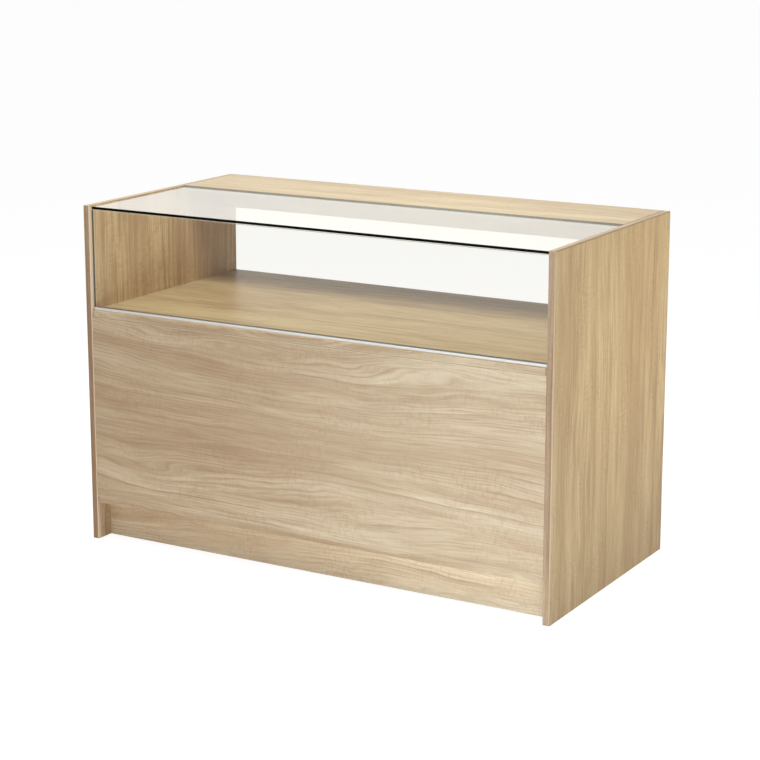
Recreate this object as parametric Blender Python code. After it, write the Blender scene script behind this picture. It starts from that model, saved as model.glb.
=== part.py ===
"""Half-glazed retail counter, modelled piece by piece.

Metres, +Z up. X is the width, the customer side faces -Y and the staff side +Y.
The origin is on the floor, at the middle of the footprint.
"""

from collections import defaultdict

import bmesh
import bpy
from mathutils import Matrix, Vector

# Overall size and stock
WIDTH = 1.200
DEPTH = 0.600
HEIGHT = 0.800
BOARD = 0.016
CLEARANCE = 0.0003

# Edging on the visible board edges
EDGING = 0.002
EDGING_RADIUS = 0.0018
EDGING_RADIUS_SHARE = 0.9
EDGING_STEPS = 3
EDGING_RELIEF = 0.0025

# Carcass
FRONT_REVEAL = 0.001
PLINTH_HEIGHT = 0.090
PLINTH_SETBACK = 0.048
REAR_PLINTH_INSET = 0.020
DECK_TOP = 0.555

# Staff side top
STRIP_DEPTH = 0.220
RAIL_HEIGHT = 0.063
RAIL_INSET = 0.044

# Storage shelf, its pins and the rows of pin holes
SHELF_TOP = 0.320
SHELF_PLAY = 0.001
SHELF_FRONT_GAP = 0.010
SHELF_INSET = 0.030
PIN_FROM_EDGE = 0.050
PIN_PITCH = 0.032
PIN_HOLES_EACH_WAY = 2

# Panes
GLASS = 0.006
GLASS_ARRIS = 0.0006
GLASS_PLAY = 0.0015
GLASS_SETBACK = 0.009
TOP_GLASS_DROP = 0.003
SEAT_STRIP = 0.001

# Channel and gasket along the foot of the front glass
CHANNEL_WALL = 0.0012
CHANNEL_HEIGHT = 0.010
CHANNEL_GROOVE = 0.004
CHANNEL_END_GAP = 0.003
GASKET = 0.0008
GASKET_RISE = 0.0015

# Pegs: the studs under the glass top and the pins under the shelf
PEG_RADIUS = 0.0025
PEG_REACH = 0.009
PEG_HEAD_WIDTH = 0.010
PEG_HEAD_HEIGHT = 0.006
PEG_SKIN = 0.006
STUD_FROM_FRONT = 0.110
STUD_FROM_REAR = 0.030

# Cam locks with their bolts
CAM_RADIUS = 0.0075
CAM_FLOOR = 0.004
CAM_FROM_END = 0.030
CAM_FROM_EDGE = 0.080
CAM_SLOT_WIDTH = 0.0014
CAM_SLOT_LENGTH = 0.009
CAM_SLOT_DEPTH = 0.0015
BOLT_RADIUS = 0.003
BOLT_SKIN = 0.005

# Wooden dowels
DOWEL_RADIUS = 0.003
DOWEL_SKIN = 0.002
DOWEL_IN_EDGE = 0.020
DOWEL_FROM_END = 0.180
STRIP_DOWEL_FROM_EDGE = 0.040

# Round pieces and cuts
ROUND_SIDES = 16
SHARP_ANGLE = 0.6
OVERSHOOT = 0.002

# Planes that several pieces share
INNER_X = WIDTH / 2 - BOARD
FRONT_Y = -DEPTH / 2
REAR_Y = DEPTH / 2
FACE_Y = FRONT_Y + FRONT_REVEAL
BASE_TOP = PLINTH_HEIGHT + BOARD
DECK_BOTTOM = DECK_TOP - BOARD
STRIP_FRONT_Y = REAR_Y - STRIP_DEPTH
STRIP_BOTTOM = HEIGHT - BOARD
GLASS_FRONT_Y = FRONT_Y + GLASS_SETBACK
TOP_GLASS_REAR_Y = STRIP_FRONT_Y - GLASS_PLAY
TOP_GLASS_TOP = HEIGHT - TOP_GLASS_DROP
TOP_GLASS_BOTTOM = TOP_GLASS_TOP - GLASS
SHELF_FRONT_Y = FACE_Y + BOARD + SHELF_FRONT_GAP
SHELF_REAR_Y = REAR_Y - SHELF_INSET
SHELF_BOTTOM = SHELF_TOP - BOARD
DOWEL_IN_FACE = BOARD - CHANNEL_GROOVE - DOWEL_SKIN
PEG_IN_PANEL = BOARD - PEG_SKIN
BOLT_IN_PANEL = BOARD - BOLT_SKIN

SIDES = {"left": -1, "right": 1}

# Holes of each board, cut at the end: round bores that don't cross, and pockets that cross them
bores = defaultdict(list)
pockets = defaultdict(list)


def clear_scene():
    for old in list(bpy.data.objects):
        bpy.data.objects.remove(old, do_unlink=True)


def material(name, colour, roughness, metallic=0.0, transmission=0.0):
    made = bpy.data.materials.new(name)
    made.use_nodes = True
    shader = made.node_tree.nodes["Principled BSDF"]
    shader.inputs["Base Color"].default_value = (*colour, 1.0)
    shader.inputs["Roughness"].default_value = roughness
    shader.inputs["Metallic"].default_value = metallic
    shader.inputs["Transmission Weight"].default_value = transmission
    return made


def place(name, mesh, location, surface):
    """A named object at its own centre, under the counter's empty."""
    obj = bpy.data.objects.new(name, mesh)
    bpy.context.scene.collection.objects.link(obj)
    obj.location = location
    obj.parent = counter
    if surface:
        mesh.materials.append(surface)
    return obj


def mesh_from(name, shape):
    bmesh.ops.recalc_face_normals(shape, faces=shape.faces)
    mesh = bpy.data.meshes.new(name)
    shape.to_mesh(mesh)
    shape.free()
    return mesh


def add_box(shape, low, high):
    """Adds a closed box between two corners, and returns its vertices."""
    low, high = Vector(low), Vector(high)
    size = Matrix.Diagonal((*(high - low), 1.0))
    move = Matrix.Translation((low + high) / 2)
    return bmesh.ops.create_cube(shape, size=1.0, matrix=move @ size)["verts"]


def add_rod(shape, start, end, radius):
    """Adds a closed round rod between two points."""
    start, end = Vector(start), Vector(end)
    turn = (end - start).to_track_quat("Z", "Y").to_matrix().to_4x4()
    bmesh.ops.create_cone(
        shape,
        cap_ends=True,
        segments=ROUND_SIDES,
        radius1=radius,
        radius2=radius,
        depth=(end - start).length,
        matrix=Matrix.Translation((start + end) / 2) @ turn,
    )


def board(name, low, high, surface):
    """A rectangular piece between two corners."""
    centre = (Vector(low) + Vector(high)) / 2
    shape = bmesh.new()
    add_box(shape, Vector(low) - centre, Vector(high) - centre)
    return place(name, mesh_from(name, shape), centre, surface)


def rounded_board(name, low, high, surface, outward, radius, segments):
    """A rectangular piece whose edges round the outward face, or round every face, are eased."""
    centre = (Vector(low) + Vector(high)) / 2
    shape = bmesh.new()
    add_box(shape, Vector(low) - centre, Vector(high) - centre)
    shape.normal_update()
    if outward is None:
        edges = list(shape.edges)
    else:
        face = max(shape.faces, key=lambda f: f.normal.dot(Vector(outward)))
        edges = list(face.edges)
    bmesh.ops.bevel(shape, geom=edges, offset=radius, segments=segments, profile=0.5, affect="EDGES")
    return place(name, mesh_from(name, shape), centre, surface)


def rod(name, start, end, radius, surface):
    centre = (Vector(start) + Vector(end)) / 2
    shape = bmesh.new()
    add_rod(shape, Vector(start) - centre, Vector(end) - centre, radius)
    obj = place(name, mesh_from(name, shape), centre, surface)
    obj.data.shade_smooth()
    obj.data.set_sharp_from_angle(angle=SHARP_ANGLE)
    return obj


def cutter(name, shape):
    """A hidden helper for a Boolean, in world coordinates."""
    helper = place(name, mesh_from(name, shape), (0, 0, 0), None)
    helper.hide_render = True
    helper.display_type = "WIRE"
    return helper


def combine(obj, helper, operation):
    modifier = obj.modifiers.new(helper.name, "BOOLEAN")
    modifier.operation = operation
    modifier.solver = "EXACT"
    modifier.object = helper


def edging(name, low, high, outward):
    radius = min(EDGING_RADIUS, EDGING_RADIUS_SHARE * EDGING)
    rounded_board(name, low, high, DECOR_EDGE, outward, radius, EDGING_STEPS)


def build_side_panels():
    for side, sign in SIDES.items():
        near, far = sorted((sign * INNER_X, sign * WIDTH / 2))
        behind_edging = FRONT_Y + EDGING + CLEARANCE
        core_top = HEIGHT - EDGING - CLEARANCE
        board(f"{side}_side_panel", (near, behind_edging, 0), (far, REAR_Y, core_top), DECOR)
        edging(
            f"{side}_front_edging",
            (near, FRONT_Y, 0),
            (far, FRONT_Y + EDGING, HEIGHT),
            (0, -1, 0),
        )
        edging(
            f"{side}_top_edging",
            (near, behind_edging, HEIGHT - EDGING),
            (far, REAR_Y, HEIGHT),
            (0, 0, 1),
        )


def edged_shelf(name, edging_name, bottom):
    """A fixed board between the side panels, from the front face to the rear, with its front edging."""
    reach = INNER_X - CLEARANCE
    edged = INNER_X - EDGING_RELIEF
    behind_edging = FACE_Y + EDGING + CLEARANCE
    board(name, (-reach, behind_edging, bottom), (reach, REAR_Y, bottom + BOARD), DECOR)
    edging(
        edging_name,
        (-edged, FACE_Y, bottom),
        (edged, FACE_Y + EDGING, bottom + BOARD),
        (0, -1, 0),
    )


def build_carcass():
    reach = INNER_X - CLEARANCE
    edged_shelf("display_deck", "deck_edging", DECK_BOTTOM)
    edged_shelf("base_panel", "base_edging", PLINTH_HEIGHT)
    board(
        "front_panel",
        (-reach, FACE_Y, BASE_TOP + CLEARANCE),
        (reach, FACE_Y + BOARD, DECK_BOTTOM - CLEARANCE),
        DECOR,
    )
    plinth_top = PLINTH_HEIGHT - CLEARANCE
    front = FRONT_Y + PLINTH_SETBACK
    rear = REAR_Y - REAR_PLINTH_INSET
    board("front_plinth", (-reach, front, 0), (reach, front + BOARD, plinth_top), DECOR)
    board("rear_plinth", (-reach, rear - BOARD, 0), (reach, rear, plinth_top), DECOR)


def build_staff_top():
    reach = INNER_X - CLEARANCE
    rail_rear = REAR_Y - RAIL_INSET
    board("top_strip", (-reach, STRIP_FRONT_Y, STRIP_BOTTOM), (reach, REAR_Y, HEIGHT), DECOR)
    board(
        "top_rail",
        (-reach, rail_rear - BOARD, STRIP_BOTTOM - RAIL_HEIGHT),
        (reach, rail_rear, STRIP_BOTTOM - CLEARANCE),
        DECOR,
    )


def peg(name, side, y, top):
    """A pin in the side panel with a flat-topped head that reaches under a loose piece."""
    sign = SIDES[side]
    face = sign * (INNER_X - CLEARANCE)
    tip = sign * (INNER_X - PEG_REACH)
    axis_z = top - PEG_HEAD_HEIGHT / 2
    inside = sign * (INNER_X + PEG_IN_PANEL - CLEARANCE)
    near, far = sorted((face, tip))
    half_width = PEG_HEAD_WIDTH / 2
    head = board(name, (near, y - half_width, top - PEG_HEAD_HEIGHT), (far, y + half_width, top), NICKEL)
    pin = bmesh.new()
    add_rod(pin, ((face + tip) / 2, y, axis_z), (inside, y, axis_z), PEG_RADIUS)
    combine(head, cutter(f"{name}_pin", pin), "UNION")
    peg_hole(side, y, axis_z)


def peg_hole(side, y, z):
    sign = SIDES[side]
    mouth = sign * (INNER_X - OVERSHOOT)
    end = sign * (INNER_X + PEG_IN_PANEL)
    bores[f"{side}_side_panel"].append(((mouth, y, z), (end, y, z), PEG_RADIUS + CLEARANCE))


def build_shelf():
    reach = INNER_X - SHELF_PLAY
    board(
        "storage_shelf",
        (-reach, SHELF_FRONT_Y, SHELF_BOTTOM),
        (reach, SHELF_REAR_Y, SHELF_TOP),
        DECOR,
    )
    pin_top = SHELF_BOTTOM - CLEARANCE
    rows = {"front": SHELF_FRONT_Y + PIN_FROM_EDGE, "rear": SHELF_REAR_Y - PIN_FROM_EDGE}
    for side in SIDES:
        for row, y in rows.items():
            peg(f"shelf_pin_{side}_{row}", side, y, pin_top)
            for step in range(-PIN_HOLES_EACH_WAY, PIN_HOLES_EACH_WAY + 1):
                if step != 0:
                    peg_hole(side, y, pin_top - PEG_HEAD_HEIGHT / 2 + step * PIN_PITCH)


def u_profile(name, y_middle, half_inner, wall, bottom, top, half_length, surface):
    """A U-section along X, open at the top."""
    outer = half_inner + wall
    section = (
        (-outer, bottom),
        (outer, bottom),
        (outer, top),
        (half_inner, top),
        (half_inner, bottom + wall),
        (-half_inner, bottom + wall),
        (-half_inner, top),
        (-outer, top),
    )
    shape = bmesh.new()
    middle = (bottom + top) / 2
    points = [shape.verts.new((-half_length, y, z - middle)) for y, z in section]
    face = shape.faces.new(points)
    swept = bmesh.ops.extrude_face_region(shape, geom=[face])["geom"]
    ends = [item for item in swept if isinstance(item, bmesh.types.BMVert)]
    bmesh.ops.translate(shape, verts=ends, vec=(2 * half_length, 0, 0))
    return place(name, mesh_from(name, shape), (0, y_middle, middle), surface)


def build_glazing():
    reach = INNER_X - GLASS_PLAY
    pane_middle = GLASS_FRONT_Y + GLASS / 2
    gasket_half = GLASS / 2 + CLEARANCE
    channel_half = gasket_half + GASKET + CLEARANCE
    channel_bottom = DECK_TOP - CHANNEL_GROOVE + CLEARANCE
    channel_top = channel_bottom + CHANNEL_HEIGHT
    gasket_bottom = channel_bottom + CHANNEL_WALL + CLEARANCE
    pane_bottom = gasket_bottom + GASKET + CLEARANCE
    pane_top = TOP_GLASS_BOTTOM - SEAT_STRIP - 2 * CLEARANCE
    channel_reach = INNER_X - CHANNEL_END_GAP

    rounded_board(
        "top_glass",
        (-reach, GLASS_FRONT_Y, TOP_GLASS_BOTTOM),
        (reach, TOP_GLASS_REAR_Y, TOP_GLASS_TOP),
        CLEAR_GLASS,
        None,
        GLASS_ARRIS,
        1,
    )
    rounded_board(
        "front_glass",
        (-reach, GLASS_FRONT_Y, pane_bottom),
        (reach, GLASS_FRONT_Y + GLASS, pane_top),
        CLEAR_GLASS,
        None,
        GLASS_ARRIS,
        1,
    )
    board(
        "glass_seat_strip",
        (-reach, GLASS_FRONT_Y + GLASS_ARRIS, pane_top + CLEARANCE),
        (reach, GLASS_FRONT_Y + GLASS - GLASS_ARRIS, TOP_GLASS_BOTTOM - CLEARANCE),
        CLEAR_PLASTIC,
    )
    u_profile(
        "glass_channel",
        pane_middle,
        channel_half,
        CHANNEL_WALL,
        channel_bottom,
        channel_top,
        channel_reach,
        ALUMINIUM,
    )
    u_profile(
        "glass_gasket",
        pane_middle,
        gasket_half,
        GASKET,
        gasket_bottom,
        channel_top + GASKET_RISE,
        channel_reach,
        DARK_RUBBER,
    )

    groove = bmesh.new()
    groove_half = channel_half + CHANNEL_WALL + CLEARANCE
    add_box(
        groove,
        (-WIDTH / 2, pane_middle - groove_half, DECK_TOP - CHANNEL_GROOVE),
        (WIDTH / 2, pane_middle + groove_half, DECK_TOP + OVERSHOOT),
    )
    combine(bpy.data.objects["display_deck"], cutter("deck_groove", groove), "DIFFERENCE")

    stud_rows = {
        "front": GLASS_FRONT_Y + STUD_FROM_FRONT,
        "rear": TOP_GLASS_REAR_Y - STUD_FROM_REAR,
    }
    for side in SIDES:
        for row, y in stud_rows.items():
            peg(f"glass_stud_{side}_{row}", side, y, TOP_GLASS_BOTTOM - CLEARANCE)


def cam_joint(label, side, board_name, y, bottom):
    """A cam lock under a board's end, and the bolt that it draws out of the side panel."""
    sign = SIDES[side]
    bolt_z = bottom + BOARD / 2
    cam_x = sign * (INNER_X - CAM_FROM_END)
    cam_top = bottom + BOARD - CAM_FLOOR
    bolt_start = sign * (INNER_X + BOLT_IN_PANEL - CLEARANCE)
    bolt_end = cam_x + sign * (CAM_RADIUS + CLEARANCE)
    bore = BOLT_RADIUS + CLEARANCE

    cam = rod(f"cam_lock_{label}", (cam_x, y, bottom), (cam_x, y, cam_top - CLEARANCE), CAM_RADIUS, ZINC)
    slot = bmesh.new()
    half_length, half_width = CAM_SLOT_LENGTH / 2, CAM_SLOT_WIDTH / 2
    add_box(
        slot,
        (cam_x - half_length, y - half_width, bottom - OVERSHOOT),
        (cam_x + half_length, y + half_width, bottom + CAM_SLOT_DEPTH),
    )
    combine(cam, cutter(f"cam_slot_{label}", slot), "DIFFERENCE")
    rod(f"cam_bolt_{label}", (bolt_start, y, bolt_z), (bolt_end, y, bolt_z), BOLT_RADIUS, ZINC)

    panel_mouth = sign * (INNER_X - OVERSHOOT)
    panel_end = sign * (INNER_X + BOLT_IN_PANEL)
    bores[f"{side}_side_panel"].append(((panel_mouth, y, bolt_z), (panel_end, y, bolt_z), bore))
    end_mouth = sign * (INNER_X + OVERSHOOT)
    bores[board_name].append(((end_mouth, y, bolt_z), (cam_x, y, bolt_z), bore))
    pocket_mouth = (cam_x, y, bottom - OVERSHOOT)
    pockets[board_name].append((pocket_mouth, (cam_x, y, cam_top), CAM_RADIUS + CLEARANCE))


def build_cam_joints():
    rows = {"front": FACE_Y + CAM_FROM_EDGE, "rear": REAR_Y - CAM_FROM_EDGE}
    fixed = {"deck": ("display_deck", DECK_BOTTOM), "base": ("base_panel", PLINTH_HEIGHT)}
    for short, (board_name, bottom) in fixed.items():
        for side in SIDES:
            for row, y in rows.items():
                cam_joint(f"{short}_{side}_{row}", side, board_name, y, bottom)


def dowel(name, face_board, edge_board, seam, into_face):
    """A dowel through the seam where one board's edge meets another board's face."""
    seam, into_face = Vector(seam), Vector(into_face)
    hole = DOWEL_RADIUS + CLEARANCE
    face_end = seam + into_face * DOWEL_IN_FACE
    edge_end = seam - into_face * DOWEL_IN_EDGE
    trim = into_face * CLEARANCE
    rod(name, edge_end + trim, face_end - trim, DOWEL_RADIUS, BEECH)
    bores[face_board].append((seam - into_face * OVERSHOOT, face_end, hole))
    bores[edge_board].append((seam + into_face * OVERSHOOT, edge_end, hole))


def build_dowels():
    rail_y = REAR_Y - RAIL_INSET - BOARD / 2
    panel_y = FACE_Y + BOARD / 2
    front_plinth_y = FRONT_Y + PLINTH_SETBACK + BOARD / 2
    rear_plinth_y = REAR_Y - REAR_PLINTH_INSET - BOARD / 2
    strip_rows = {"front": STRIP_FRONT_Y + STRIP_DOWEL_FROM_EDGE, "rear": REAR_Y - STRIP_DOWEL_FROM_EDGE}
    up, down = (0, 0, 1), (0, 0, -1)
    for side, sign in SIDES.items():
        x = sign * (INNER_X - DOWEL_FROM_END)
        for row, y in strip_rows.items():
            seam = (sign * INNER_X, y, HEIGHT - BOARD / 2)
            dowel(f"dowel_strip_{side}_{row}", f"{side}_side_panel", "top_strip", seam, (sign, 0, 0))
        dowel(f"dowel_rail_{side}", "top_strip", "top_rail", (x, rail_y, STRIP_BOTTOM), up)
        dowel(f"dowel_panel_{side}_top", "display_deck", "front_panel", (x, panel_y, DECK_BOTTOM), up)
        dowel(f"dowel_panel_{side}_foot", "base_panel", "front_panel", (x, panel_y, BASE_TOP), down)
        seam = (x, front_plinth_y, PLINTH_HEIGHT)
        dowel(f"dowel_plinth_{side}_front", "base_panel", "front_plinth", seam, up)
        seam = (x, rear_plinth_y, PLINTH_HEIGHT)
        dowel(f"dowel_plinth_{side}_rear", "base_panel", "rear_plinth", seam, up)


def drill():
    """Cuts every bore and pocket, each kind with one cutter a board."""
    for suffix, holes in (("bores", bores), ("pockets", pockets)):
        for board_name, rods in holes.items():
            shape = bmesh.new()
            for start, end, radius in rods:
                add_rod(shape, start, end, radius)
            helper = cutter(f"{board_name}_{suffix}", shape)
            combine(bpy.data.objects[board_name], helper, "DIFFERENCE")


clear_scene()
counter = bpy.data.objects.new("retail_counter", None)
bpy.context.scene.collection.objects.link(counter)

DECOR = material("wood_decor", (0.58, 0.44, 0.29), 0.45)
DECOR_EDGE = material("decor_edging", (0.52, 0.38, 0.25), 0.40)
BEECH = material("beech_dowel", (0.60, 0.42, 0.25), 0.70)
CLEAR_GLASS = material("clear_glass", (0.95, 0.98, 0.96), 0.02, transmission=1.0)
CLEAR_PLASTIC = material("clear_plastic", (0.90, 0.90, 0.90), 0.20, transmission=1.0)
DARK_RUBBER = material("dark_gasket", (0.03, 0.03, 0.03), 0.60)
ALUMINIUM = material("satin_aluminium", (0.80, 0.80, 0.78), 0.30, metallic=1.0)
ZINC = material("zinc_fitting", (0.62, 0.62, 0.64), 0.35, metallic=1.0)
NICKEL = material("nickel_peg", (0.70, 0.68, 0.65), 0.25, metallic=1.0)

build_side_panels()
build_carcass()
build_staff_top()
build_shelf()
build_glazing()
build_cam_joints()
build_dowels()
drill()
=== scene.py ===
"""Looks of the half-glazed retail counter: finishes, studio and camera.

Metres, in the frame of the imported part: X is the width, the customer side faces -Y, +Z is up.
"""

import math
from collections import namedtuple

import bpy
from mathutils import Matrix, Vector


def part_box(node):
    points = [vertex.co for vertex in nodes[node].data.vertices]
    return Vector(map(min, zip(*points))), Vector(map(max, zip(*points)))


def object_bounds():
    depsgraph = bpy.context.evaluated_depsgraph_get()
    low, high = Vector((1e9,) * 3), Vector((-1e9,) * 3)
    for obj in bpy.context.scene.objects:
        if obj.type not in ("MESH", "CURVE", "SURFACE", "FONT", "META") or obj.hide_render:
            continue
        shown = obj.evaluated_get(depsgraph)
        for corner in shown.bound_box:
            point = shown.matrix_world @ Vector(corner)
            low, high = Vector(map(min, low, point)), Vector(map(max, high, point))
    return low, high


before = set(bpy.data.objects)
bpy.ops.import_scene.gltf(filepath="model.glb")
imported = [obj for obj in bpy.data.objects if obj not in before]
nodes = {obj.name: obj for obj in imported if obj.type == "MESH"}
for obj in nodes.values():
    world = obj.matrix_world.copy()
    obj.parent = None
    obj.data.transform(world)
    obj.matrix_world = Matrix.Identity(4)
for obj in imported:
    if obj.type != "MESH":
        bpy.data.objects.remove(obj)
cad_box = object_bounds()

# Camera, fitted to the photograph's frame
PHOTO_SIDE = 760
SENSOR = 36.0
FOCAL_PIXELS = 2080.3
HORIZON_ROW = 340.0
CAMERA_AZIMUTH = math.radians(30.18)
CAMERA_ELEVATION = math.radians(12.57)
CAMERA_DISTANCE = 4.801
CAMERA_TARGET = Vector((0.0152, 0.0, 0.4935))

# Directions, and how fast the grain runs on over a board's edge
ALONG_X = Vector((1, 0, 0))
ALONG_Y = Vector((0, 1, 0))
ALONG_Z = Vector((0, 0, 1))
EDGE_SHARE = 0.9

# Decor colours, linear
PALE = (0.74, 0.60, 0.42)
WARM = (0.56, 0.41, 0.265)
LINE = (0.38, 0.235, 0.135)
# Pale of the painted highlights on the edgings' right-facing arrises and along the front of the left
# panel's inner face
ARRIS_HIGHLIGHT = (0.74, 0.57, 0.39)
# Dark of the painted shade on the outer arrises of the top edgings
ARRIS_SHADE = (0.26, 0.17, 0.105)
# Grey of the painted shade line along the top strip's front face, under the glass's rear edge
PAINTED_SHADE_GREY = (0.46, 0.45, 0.42)
EDGE_TINT = (0.72, 0.64, 0.60)

# Tints of the boards: the one decor in lighter and darker copies, painted light and shade matched to how
# each board is lit; the plinth, rail and left panel are lightened against their shade, the deck, cap and
# right panel darkened
PAINTED_LIGHT_TINTS = {
    "front": (0.925, 0.875, 0.805),
    "plinth": (1.176, 1.140, 1.060),
    "rail": (1.250, 1.250, 1.120),
    "deck": (0.730, 0.735, 0.690),
    "left": (1.012, 0.955, 0.835),
    "right": (0.860, 0.800, 0.640),
    "strip": (0.840, 0.857, 0.746),
    "cap": (0.740, 0.710, 0.620),
}

# Layers of the decor: features a metre along and across the grain, seed shift, detail
LAYERS = {
    "arches": (0.8, 4.2, 0.0, 1.0),
    "waves": (3.6, 9.0, 7.0, 3.0),
    "looped": (1.2, 5.0, 41.0, 0.0),
    "loops": (2.6, 20.0, 43.0, 1.0),
    "tones": (1.2, 20.0, 11.0, 3.0),
    "streaks": (5.0, 120.0, 13.0, 3.0),
    "streaked": (1.8, 13.0, 47.0, 2.0),
    "fibres": (16.0, 430.0, 17.0, 2.0),
    "uneven": (0.5, 36.0, 19.0, 2.0),
    "grouped": (2.6, 18.0, 23.0, 2.0),
    "bold": (2.2, 9.0, 29.0, 2.0),
    "flecks": (150.0, 70.0, 31.0, 2.0),
    "flecked": (7.0, 12.0, 37.0, 2.0),
}
STREAK_ROUGHNESS = 0.6

# How far the rings bend, how unevenly they are spaced and how wide they are
ARCH_SWING = 0.15
WAVE_SWING = 0.034
LOOP_SWING = 0.06
UNEVEN_SWING = 0.028
FINE_RING = 0.0078
BOLD_RING = 0.055

# Strengths of the decor's layers over its ground colour
STREAK_STRENGTH = 0.40
FINE_STRENGTH = 0.46
BOLD_STRENGTH = 0.66
FIBRE_STRENGTH = 0.34
FLECK_STRENGTH = 0.30

# The decor's satin surface
DECOR_SMOOTHEST = 0.28
DECOR_ROUGHNESS_RANGE = 0.16
DECOR_SPECULAR = 0.15
FIBRE_RELIEF = 0.00006

# Painted lines of light and shade on the boards: a plane across a direction, and the colour close to it
Mark = namedtuple("Mark", "direction position reach colour strength")
ARRIS_REACH = 0.0024
MARK_SOFTNESS = 0.4

# Glass edges, drawn metal and moulded surfaces
GLASS_EDGE_ROUGHNESS = 0.12
GLASS_EDGE_SPECULAR = 0.04
GLASS_EDGE_CLOUD = 40.0
DRAWN_ALONG = 6.0
DRAWN_ACROSS = 2600.0
DRAWN_ROUGHNESS_RANGE = 0.14
DRAWN_RELIEF = 0.00002
FACING = 0.5

# Studio
WHITE = (1.0, 1.0, 1.0)
AMBIENT = 0.36
FLOOR_SIDE = 240.0
FLOOR_GAP = 0.0005
FLOOR_GLOW = 0.88
FLOOR_SHADE = 0.28
FLOOR_ROUGHNESS = 0.9
FLOOR_CLOUD = 3.0
BEFORE_FIRST_BOUNCE = 0.5
LAMPS = {
    "top_lamp": dict(
        location=(0.0, -0.5, 2.4), target=(0.0, -0.2, 0.6), size=(0.8, 0.8), power=36.0, colour=WHITE,
    ),
    "left_lamp": dict(
        location=(-1.3, -0.2, 3.0), target=(0.0, 0.0, 0.6), size=(1.6, 1.6), power=8.0, colour=WHITE,
    ),
    "right_lamp": dict(
        location=(1.5, 0.15, 0.69), target=(0.6, 0.1, 0.70), size=(0.5, 0.2), power=4.8,
        colour=(1.0, 0.945, 0.73),
    ),
    "front_lamp": dict(
        location=(0.9, -1.5, 0.17), target=(0.6, -0.3, 0.12), size=(1.0, 0.3), power=11.5,
        colour=(0.80, 1.0, 1.25),
    ),
    "floor_lamp": dict(
        location=(0.6, -0.95, 0.01), target=(0.6, -0.95, 1.0), size=(1.2, 0.9), power=2.0,
        colour=(0.6, 1.0, 1.5),
    ),
    "rear_lamp": dict(
        location=(0.2, 2.2, 0.3), target=(0.0, 0.3, 0.35), size=(1.4, 0.4), power=4.0,
        colour=(1.0, 0.98, 0.95),
    ),
    "side_lamp": dict(
        location=(-2.0, -0.1, 0.6), target=(-0.6, 0.0, 0.4), size=(1.0, 0.6), power=6.0, colour=WHITE,
    ),
    "back_lamp": dict(
        location=(-1.6, 1.8, 0.9), target=(0.0, 0.3, 0.3), size=(1.2, 0.6), power=8.0, colour=WHITE,
    ),
}


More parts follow.
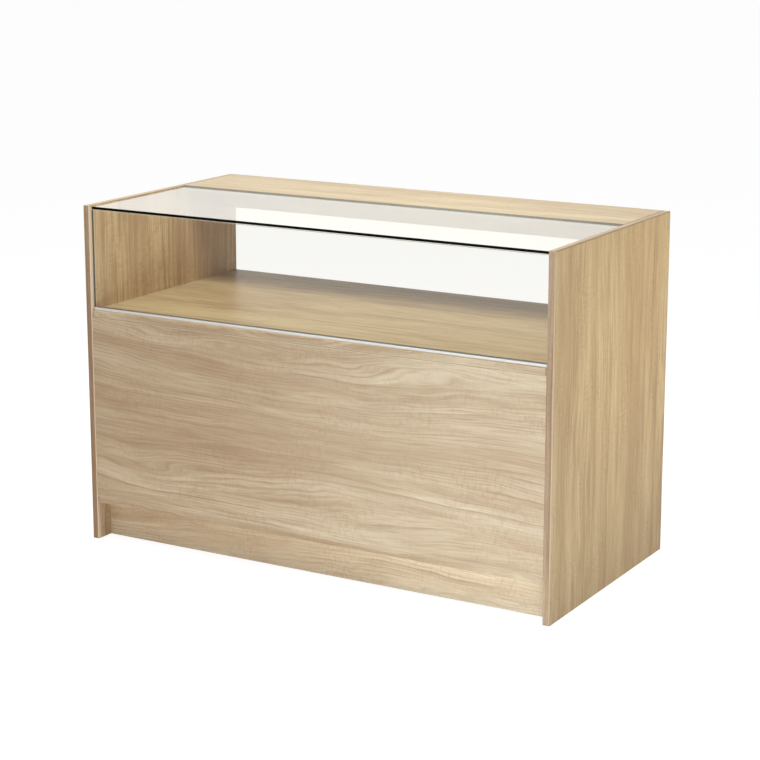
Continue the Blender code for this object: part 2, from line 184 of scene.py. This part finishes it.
class Shader:
    """A material's node tree, with short calls for the nodes used here."""

    def __init__(self, name=None, world=None):
        if world:
            self.tree = world.node_tree
            self.tree.nodes.clear()
            return
        self.material = bpy.data.materials.new(name)
        self.material.use_nodes = True
        self.tree = self.material.node_tree
        self.surface = self.tree.nodes["Principled BSDF"]
        self.output = self.tree.nodes["Material Output"]

    def feed(self, socket, source):
        """Links a socket, or sets its value."""
        if isinstance(source, bpy.types.NodeSocket):
            self.tree.links.new(source, socket)
        elif isinstance(socket.default_value, float):
            socket.default_value = source
        else:
            filled = tuple(source)
            if len(socket.default_value) > len(filled):
                filled += (1.0,)
            socket.default_value = filled

    def node(self, kind, **inputs):
        made = self.tree.nodes.new(f"ShaderNode{kind}")
        for name, source in inputs.items():
            self.feed(made.inputs[name.replace("_", " ")], source)
        return made

    def math(self, operation, *terms):
        made = self.tree.nodes.new("ShaderNodeMath")
        made.operation = operation
        for socket, term in zip(made.inputs, terms):
            self.feed(socket, term)
        return made.outputs[0]

    def total(self, *terms):
        result = terms[0]
        for term in terms[1:]:
            result = self.math("ADD", result, term)
        return result

    def product(self, *terms):
        result = terms[0]
        for term in terms[1:]:
            result = self.math("MULTIPLY", result, term)
        return result

    def place(self):
        return self.node("TexCoord").outputs["Object"]

    def along(self, place, direction):
        made = self.tree.nodes.new("ShaderNodeVectorMath")
        made.operation = "DOT_PRODUCT"
        self.feed(made.inputs[0], place)
        self.feed(made.inputs[1], direction)
        return made.outputs["Value"]

    def stretched(self, u, v, along, across, seed):
        """A point in a pattern that has so many features a metre lengthwise and crosswise."""
        vector = self.node("CombineXYZ", Z=seed)
        self.feed(vector.inputs["X"], self.math("MULTIPLY", u, along))
        self.feed(vector.inputs["Y"], self.math("MULTIPLY", v, across))
        return vector.outputs[0]

    def noise(self, vector, detail=2.0, roughness=0.5):
        made = self.node("TexNoise", Vector=vector, Scale=1.0, Detail=detail, Roughness=roughness)
        return made.outputs["Fac"]

    def cloud(self, place, across, scale, seed):
        """An even noise over the plane of X and another direction."""
        u = self.along(place, ALONG_X)
        v = self.along(place, across)
        return self.noise(self.stretched(u, v, scale, scale, seed))

    def swing(self, noise, size):
        """A noise as a signed shift of up to about half of size each way."""
        return self.math("MULTIPLY", self.math("SUBTRACT", noise, 0.5), size)

    def ramp(self, factor, *stops):
        """A curve through (position, value) stops."""
        made = self.node("ValToRGB", Fac=factor)
        points = made.color_ramp.elements
        while len(points) < len(stops):
            points.new(0.5)
        for point, (position, value) in zip(points, stops):
            point.position = position
            point.color = (value, value, value, 1.0)
        return made.outputs["Color"]

    def mix(self, factor, low, high):
        made = self.tree.nodes.new("ShaderNodeMix")
        made.data_type = "RGBA"
        self.feed(made.inputs[0], factor)
        self.feed(made.inputs[6], low)
        self.feed(made.inputs[7], high)
        return made.outputs[2]

    def near(self, place, direction, position, reach):
        """1 on a plane across direction, falling to 0 at reach from it."""
        away = self.math("ABSOLUTE", self.math("SUBTRACT", self.along(place, direction), position))
        left = self.math("DIVIDE", self.math("SUBTRACT", reach, away), reach * MARK_SOFTNESS)
        return self.math("MINIMUM", self.math("MAXIMUM", left, 0.0), 1.0)

    def bump(self, height, distance):
        made = self.node("Bump", Height=height, Distance=distance, Strength=1.0)
        self.feed(self.surface.inputs["Normal"], made.outputs[0])

    def set(self, **inputs):
        for name, source in inputs.items():
            self.feed(self.surface.inputs[name.replace("_", " ")], source)


def tinted(colour, tint):
    return tuple(part * share for part, share in zip(colour, tint))


def decor(name, grain, across, seed, tint, figure=1.0, contrast=1.0, broad=1.0, ring=BOLD_RING,
          streak=None, fleck=FLECK_STRENGTH, marks=()):
    """Printed wood decor.

    Growth rings bend into long arches, with pointed loops here and there. Broad tones, ring edges
    and fine streaks follow them, and faint flecks cross them. Figure is how far the rings bend,
    contrast and broad are the strengths of streaks and tones, ring is the width of a bold ring,
    streak the number of streaks a metre and fleck the strength of the flecks.
    """
    s = Shader(name)
    place = s.place()
    pale, warm, line = (tinted(colour, tint) for colour in (PALE, WARM, LINE))
    u = s.along(place, grain)
    v = s.along(place, across + grain.cross(across) * EDGE_SHARE)

    def layer(kind, crosswise, count=None, roughness=0.5):
        along, usual_count, shift, detail = LAYERS[kind]
        point = s.stretched(u, crosswise, along, count or usual_count, seed + shift)
        return s.noise(point, detail, roughness)

    arches = s.swing(layer("arches", v), ARCH_SWING * figure)
    waves = s.swing(layer("waves", v), WAVE_SWING * figure)
    looped = s.ramp(layer("looped", v), (0.46, 0.0), (0.64, 1.0))
    loops = s.swing(layer("loops", v), LOOP_SWING * figure)
    rings = s.total(v, arches, waves, s.product(loops, looped))

    tones = layer("tones", rings)
    streaks = layer("streaks", rings, streak, STREAK_ROUGHNESS)
    streaked = s.ramp(layer("streaked", rings), (0.40, 0.3), (0.60, 1.0))
    fibres = layer("fibres", rings)

    uneven = s.total(rings, s.swing(layer("uneven", rings), UNEVEN_SWING))
    fine_steps = s.math("FRACT", s.math("DIVIDE", uneven, FINE_RING))
    fine = s.ramp(fine_steps, (0.0, 0.0), (0.45, 0.12), (0.72, 0.45), (0.84, 1.0), (0.92, 0.9), (1.0, 0.0))
    grouped = s.ramp(layer("grouped", rings), (0.45, 0.05), (0.58, 1.0))
    bold_steps = s.math("FRACT", s.math("DIVIDE", uneven, ring))
    bold = s.ramp(bold_steps, (0.0, 0.0), (0.68, 0.06), (0.90, 0.55), (0.955, 1.0), (1.0, 0.0))
    bold_share = s.ramp(layer("bold", rings), (0.44, 0.0), (0.60, 1.0))

    flecks = s.ramp(layer("flecks", v), (0.46, 0.0), (0.70, 1.0))
    flecked = s.ramp(layer("flecked", v), (0.40, 0.2), (0.65, 1.0))

    colour = s.mix(s.ramp(tones, (0.36, 0.0), (0.62, broad)), pale, warm)
    streaks = s.ramp(streaks, (0.44, 0.0), (0.66, contrast))
    colour = s.mix(s.product(streaks, streaked, STREAK_STRENGTH), colour, line)
    colour = s.mix(s.product(fine, grouped, FINE_STRENGTH), colour, line)
    colour = s.mix(s.product(bold, bold_share, BOLD_STRENGTH), colour, line)
    colour = s.mix(s.ramp(fibres, (0.46, 0.0), (0.66, FIBRE_STRENGTH)), colour, line)
    colour = s.mix(s.product(flecks, flecked, fleck), colour, line)
    # Painted lines of light and shade close to given planes
    for mark in marks:
        close = s.near(place, mark.direction, mark.position, mark.reach)
        colour = s.mix(s.product(close, mark.strength), colour, mark.colour)
    s.set(Base_Color=colour, Specular_IOR_Level=DECOR_SPECULAR)
    s.set(Roughness=s.math("MULTIPLY_ADD", fibres, DECOR_ROUGHNESS_RANGE, DECOR_SMOOTHEST))
    s.bump(fibres, FIBRE_RELIEF)
    return s.material


def glass(name, tint, ior, clarity=1.0):
    """Clear glass or plastic that lets lamps through, with a film of dust where clarity is under one."""
    s = Shader(name)
    s.set(Base_Color=tint, Roughness=0.0, IOR=ior, Transmission_Weight=clarity)
    clear = s.node("BsdfTransparent", Color=tint)
    chosen = s.node("MixShader")
    rays = s.node("LightPath")
    lit = s.math("MAXIMUM", rays.outputs["Is Shadow Ray"], rays.outputs["Is Diffuse Ray"])
    s.feed(chosen.inputs[0], lit)
    s.feed(chosen.inputs[1], s.surface.outputs[0])
    s.feed(chosen.inputs[2], clear.outputs[0])
    s.feed(s.output.inputs["Surface"], chosen.outputs[0])
    return s.material


def glass_edge(name, low, high):
    """The polished edge of a pane, dark with a faint green cloud."""
    s = Shader(name)
    cloud = s.cloud(s.place(), ALONG_Y, GLASS_EDGE_CLOUD, seed=2.0)
    s.set(Base_Color=s.mix(cloud, low, high), Roughness=GLASS_EDGE_ROUGHNESS)
    s.set(Specular_IOR_Level=GLASS_EDGE_SPECULAR)
    return s.material


def metal(name, colour, dull, roughness, across, metallic=1.0):
    """A metal with fine drawing lines along its length, less metallic where it is anodised."""
    s = Shader(name)
    place = s.place()
    u = s.along(place, ALONG_X)
    v = s.along(place, across)
    lines = s.noise(s.stretched(u, v, DRAWN_ALONG, DRAWN_ACROSS, 1.0))
    smoothest = roughness - DRAWN_ROUGHNESS_RANGE / 2
    s.set(Base_Color=s.mix(lines, dull, colour), Metallic=metallic)
    s.set(Roughness=s.math("MULTIPLY_ADD", lines, DRAWN_ROUGHNESS_RANGE, smoothest))
    s.bump(lines, DRAWN_RELIEF)
    return s.material


def plain(name, low, high, scale, roughness):
    """A plain moulded surface with a faint mottle."""
    s = Shader(name)
    mottle = s.cloud(s.place(), ALONG_Z, scale, seed=4.0)
    s.set(Base_Color=s.mix(mottle, low, high), Roughness=roughness)
    return s.material


def wear(node_name, material):
    slots = nodes[node_name].data.materials
    slots.clear()
    slots.append(material)


def wear_edges(node_name, pane, edges):
    """Gives a pane its glass, and the faces that look along the named directions their own finishes."""
    wear(node_name, pane)
    mesh = nodes[node_name].data
    for finish, directions in edges.items():
        mesh.materials.append(finish)
        for face in mesh.polygons:
            if any(face.normal.dot(direction) > FACING for direction in directions):
                face.material_index = len(mesh.materials) - 1


def dress_boards():
    low, high = cad_box
    strip_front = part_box("top_strip")[0][1]
    # A painted highlight along the front 11 mm of the left panel's inner face, where light falls in front
    # of the front panel
    lit_lip = Mark(ALONG_Y, low[1], reach=0.011, colour=ARRIS_HIGHLIGHT, strength=0.8)
    # A painted shade line along the top strip's front face
    strip_front_shade = Mark(ALONG_Y, strip_front, reach=0.0012, colour=PAINTED_SHADE_GREY, strength=0.7)
    # Painted shade on the outer arrises of the two top edgings
    left_arris_shade = Mark(ALONG_X, low[0], ARRIS_REACH, ARRIS_SHADE, strength=0.8)
    right_arris_shade = Mark(ALONG_X, high[0], ARRIS_REACH, ARRIS_SHADE, strength=0.4)
    lying = dict(grain=ALONG_X, across=ALONG_Y)
    upright = dict(grain=ALONG_X, across=ALONG_Z)
    side = dict(grain=ALONG_Z, across=ALONG_Y)
    cap = dict(grain=ALONG_Y, across=ALONG_X, figure=0.3, broad=0.6)
    boards = {
        "front_plinth": ("plinth", dict(upright, seed=4.1, figure=0.8)),
        "rear_plinth": ("front", dict(upright, seed=8.7, figure=0.8)),
        "top_rail": ("rail", dict(upright, seed=15.2, figure=0.6)),
        "top_strip": ("strip", dict(lying, seed=26.8, figure=0.5, broad=0.6, marks=[strip_front_shade])),
        "display_deck": ("deck", dict(
            lying, seed=2.6, figure=0.5, contrast=1.8, broad=0.5, ring=0.022, streak=60.0,
        )),
        "base_panel": ("front", dict(lying, seed=31.9, figure=0.6)),
        "storage_shelf": ("front", dict(lying, seed=12.4, figure=0.6)),
        "left_side_panel": ("left", dict(
            side, seed=6.5, figure=0.4, contrast=2.2, ring=0.027, fleck=0.45, marks=[lit_lip],
        )),
        "right_side_panel": ("right", dict(
            side, seed=18.1, figure=0.6, contrast=1.3, broad=0.8, ring=0.04,
        )),
        "left_top_edging": ("cap", dict(cap, seed=5.8, marks=[left_arris_shade])),
        "right_top_edging": ("cap", dict(cap, seed=14.7, marks=[right_arris_shade])),
    }
    for node_name, (tint, figure) in boards.items():
        wear(node_name, decor(f"decor_{node_name}", tint=PAINTED_LIGHT_TINTS[tint], **figure))

    # The front panel's decor runs on over the edgings above and below it, with painted light along each
    # joint line that lightens the shade in its groove
    pale = tinted(PALE, PAINTED_LIGHT_TINTS["front"])
    heights = (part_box("base_edging")[1][2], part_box("deck_edging")[0][2])
    joint_highlights = [Mark(ALONG_Z, height, reach=0.003, colour=pale, strength=0.6) for height in heights]
    front = decor("decor_front", seed=21.3, tint=PAINTED_LIGHT_TINTS["front"], marks=joint_highlights, **upright)
    for node_name in ("front_panel", "deck_edging", "base_edging"):
        wear(node_name, front)

    # Front edgings of the side panels, a little darker, each with a painted highlight on its right-facing
    # arris
    tint = tinted(PAINTED_LIGHT_TINTS["front"], EDGE_TINT)
    for node_name, seed, arris_highlight in (("left_front_edging", 3.3, ARRIS_HIGHLIGHT), ("right_front_edging", 9.4, WARM)):
        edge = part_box(node_name)[1][0]
        arris = Mark(ALONG_X, edge, ARRIS_REACH, arris_highlight, strength=0.9)
        finish = decor(f"decor_{node_name}", ALONG_Z, ALONG_X, seed, tint, figure=0.3, marks=[arris])
        wear(node_name, finish)


def dress_glazing():
    top = glass("clear_glass", tint=(0.97, 0.955, 0.86), ior=1.7, clarity=0.925)
    front = glass("quiet_glass", tint=(0.94, 0.935, 0.90), ior=1.25)
    # One polished glass edge in three brightnesses, near black at the top pane's front, grey at the sides,
    # lightest at its rear: painted light and shade
    dark = glass_edge("glass_front_edge", (0.0008, 0.0012, 0.0012), (0.002, 0.004, 0.003))
    soft = glass_edge("glass_side_edge", (0.08, 0.085, 0.08), (0.13, 0.14, 0.13))
    faint = glass_edge("glass_rear_edge", (0.18, 0.185, 0.18), (0.26, 0.27, 0.26))
    wear_edges("top_glass", top, {dark: (-ALONG_Y,), faint: (ALONG_Y,)})
    wear_edges("front_glass", front, {soft: (-ALONG_X, ALONG_X)})
    wear("glass_seat_strip", glass("clear_plastic", tint=(0.9, 0.9, 0.88), ior=1.46))
    wear("glass_channel", metal(
        "aluminium", colour=(0.84, 0.80, 0.71), dull=(0.74, 0.70, 0.62), roughness=0.28,
        across=ALONG_Z, metallic=0.1,
    ))
    wear("glass_gasket", plain(
        "grey_gasket", low=(0.24, 0.225, 0.20), high=(0.32, 0.30, 0.265), scale=300.0, roughness=0.6,
    ))


def dress_fittings():
    nickel = metal(
        "nickel", colour=(0.72, 0.69, 0.64), dull=(0.62, 0.60, 0.56), roughness=0.26, across=ALONG_Z,
    )
    zinc = metal(
        "zinc", colour=(0.64, 0.64, 0.66), dull=(0.50, 0.50, 0.52), roughness=0.38, across=ALONG_Y,
    )
    beech = decor("beech", ALONG_X, ALONG_Z, seed=1.5, tint=(1.0, 0.92, 0.87), figure=0.3)
    for node_name in nodes:
        if node_name.startswith(("glass_stud", "shelf_pin")):
            wear(node_name, nickel)
        elif node_name.startswith("cam_"):
            wear(node_name, zinc)
        elif node_name.startswith("dowel_"):
            wear(node_name, beech)


def seen_rays(s):
    """1 for rays that show a surface or the surround to the camera, also by way of glass and metal."""
    rays = s.node("LightPath")
    seen = rays.outputs["Is Camera Ray"]
    for kind in ("Is Glossy Ray", "Is Transmission Ray"):
        seen = s.math("MAXIMUM", seen, rays.outputs[kind])
    direct = s.math("LESS_THAN", rays.outputs["Diffuse Depth"], BEFORE_FIRST_BOUNCE)
    return s.math("MULTIPLY", seen, direct)


def build_world():
    """A white surround, of which less lights the counter."""
    world = bpy.data.worlds.new("studio")
    bpy.context.scene.world = world
    world.use_nodes = True
    s = Shader(world=world)
    chosen = s.node("MixShader")
    s.feed(chosen.inputs[0], seen_rays(s))
    s.feed(chosen.inputs[1], s.node("Background", Color=WHITE, Strength=AMBIENT).outputs[0])
    s.feed(chosen.inputs[2], s.node("Background", Color=WHITE, Strength=1.0).outputs[0])
    s.feed(s.node("OutputWorld").inputs["Surface"], chosen.outputs[0])


def build_floor():
    """A pale floor, brightened to white where it is seen, that keeps the counter's shadow."""
    mesh = bpy.data.meshes.new("floor")
    side = FLOOR_SIDE / 2
    corners = [(-side, -side, 0), (side, -side, 0), (side, side, 0), (-side, side, 0)]
    mesh.from_pydata(corners, [], [(0, 1, 2, 3)])
    floor = bpy.data.objects.new("floor", mesh)
    floor.location.z = -FLOOR_GAP
    bpy.context.scene.collection.objects.link(floor)
    s = Shader("pale_floor")
    cloud = s.cloud(s.place(), ALONG_Y, FLOOR_CLOUD, seed=0.0)
    seen = seen_rays(s)
    pale = s.mix(cloud, (0.80, 0.80, 0.80), (0.84, 0.84, 0.83))
    shade = (FLOOR_SHADE, FLOOR_SHADE, FLOOR_SHADE)
    s.set(Base_Color=s.mix(seen, pale, shade), Roughness=FLOOR_ROUGHNESS, Specular_IOR_Level=0.0)
    s.set(Emission_Strength=s.math("MULTIPLY", seen, FLOOR_GLOW), Emission_Color=WHITE)
    mesh.materials.append(s.material)


def soft_lamp(name, location, target, size, power, colour):
    """A lamp that lights the counter and isn't itself seen, mirrored or seen through glass."""
    lamp = bpy.data.lights.new(name, "AREA")
    lamp.shape = "RECTANGLE"
    lamp.size, lamp.size_y = size
    lamp.energy = power
    lamp.color = colour
    lamp_object = bpy.data.objects.new(name, lamp)
    lamp_object.location = location
    aim = Vector(target) - Vector(location)
    lamp_object.rotation_euler = aim.to_track_quat("-Z", "Y").to_euler()
    lamp_object.visible_camera = False
    lamp_object.visible_glossy = False
    lamp_object.visible_transmission = False
    bpy.context.scene.collection.objects.link(lamp_object)


def build_camera():
    lens = bpy.data.cameras.new("camera")
    lens.sensor_width = SENSOR
    lens.lens = FOCAL_PIXELS / PHOTO_SIDE * SENSOR
    lens.shift_y = (HORIZON_ROW - PHOTO_SIDE / 2) / PHOTO_SIDE
    camera = bpy.data.objects.new("camera", lens)
    back = Vector((
        math.sin(CAMERA_AZIMUTH) * math.cos(CAMERA_ELEVATION),
        -math.cos(CAMERA_AZIMUTH) * math.cos(CAMERA_ELEVATION),
        math.sin(CAMERA_ELEVATION),
    ))
    camera.location = CAMERA_TARGET + back * CAMERA_DISTANCE
    camera.rotation_euler = (-back).to_track_quat("-Z", "Y").to_euler()
    bpy.context.scene.collection.objects.link(camera)
    bpy.context.scene.camera = camera


dress_boards()
dress_glazing()
dress_fittings()
build_world()
build_floor()
for lamp_name, lamp_values in LAMPS.items():
    soft_lamp(lamp_name, **lamp_values)
build_camera()
bpy.context.scene.view_settings.view_transform = "Standard"
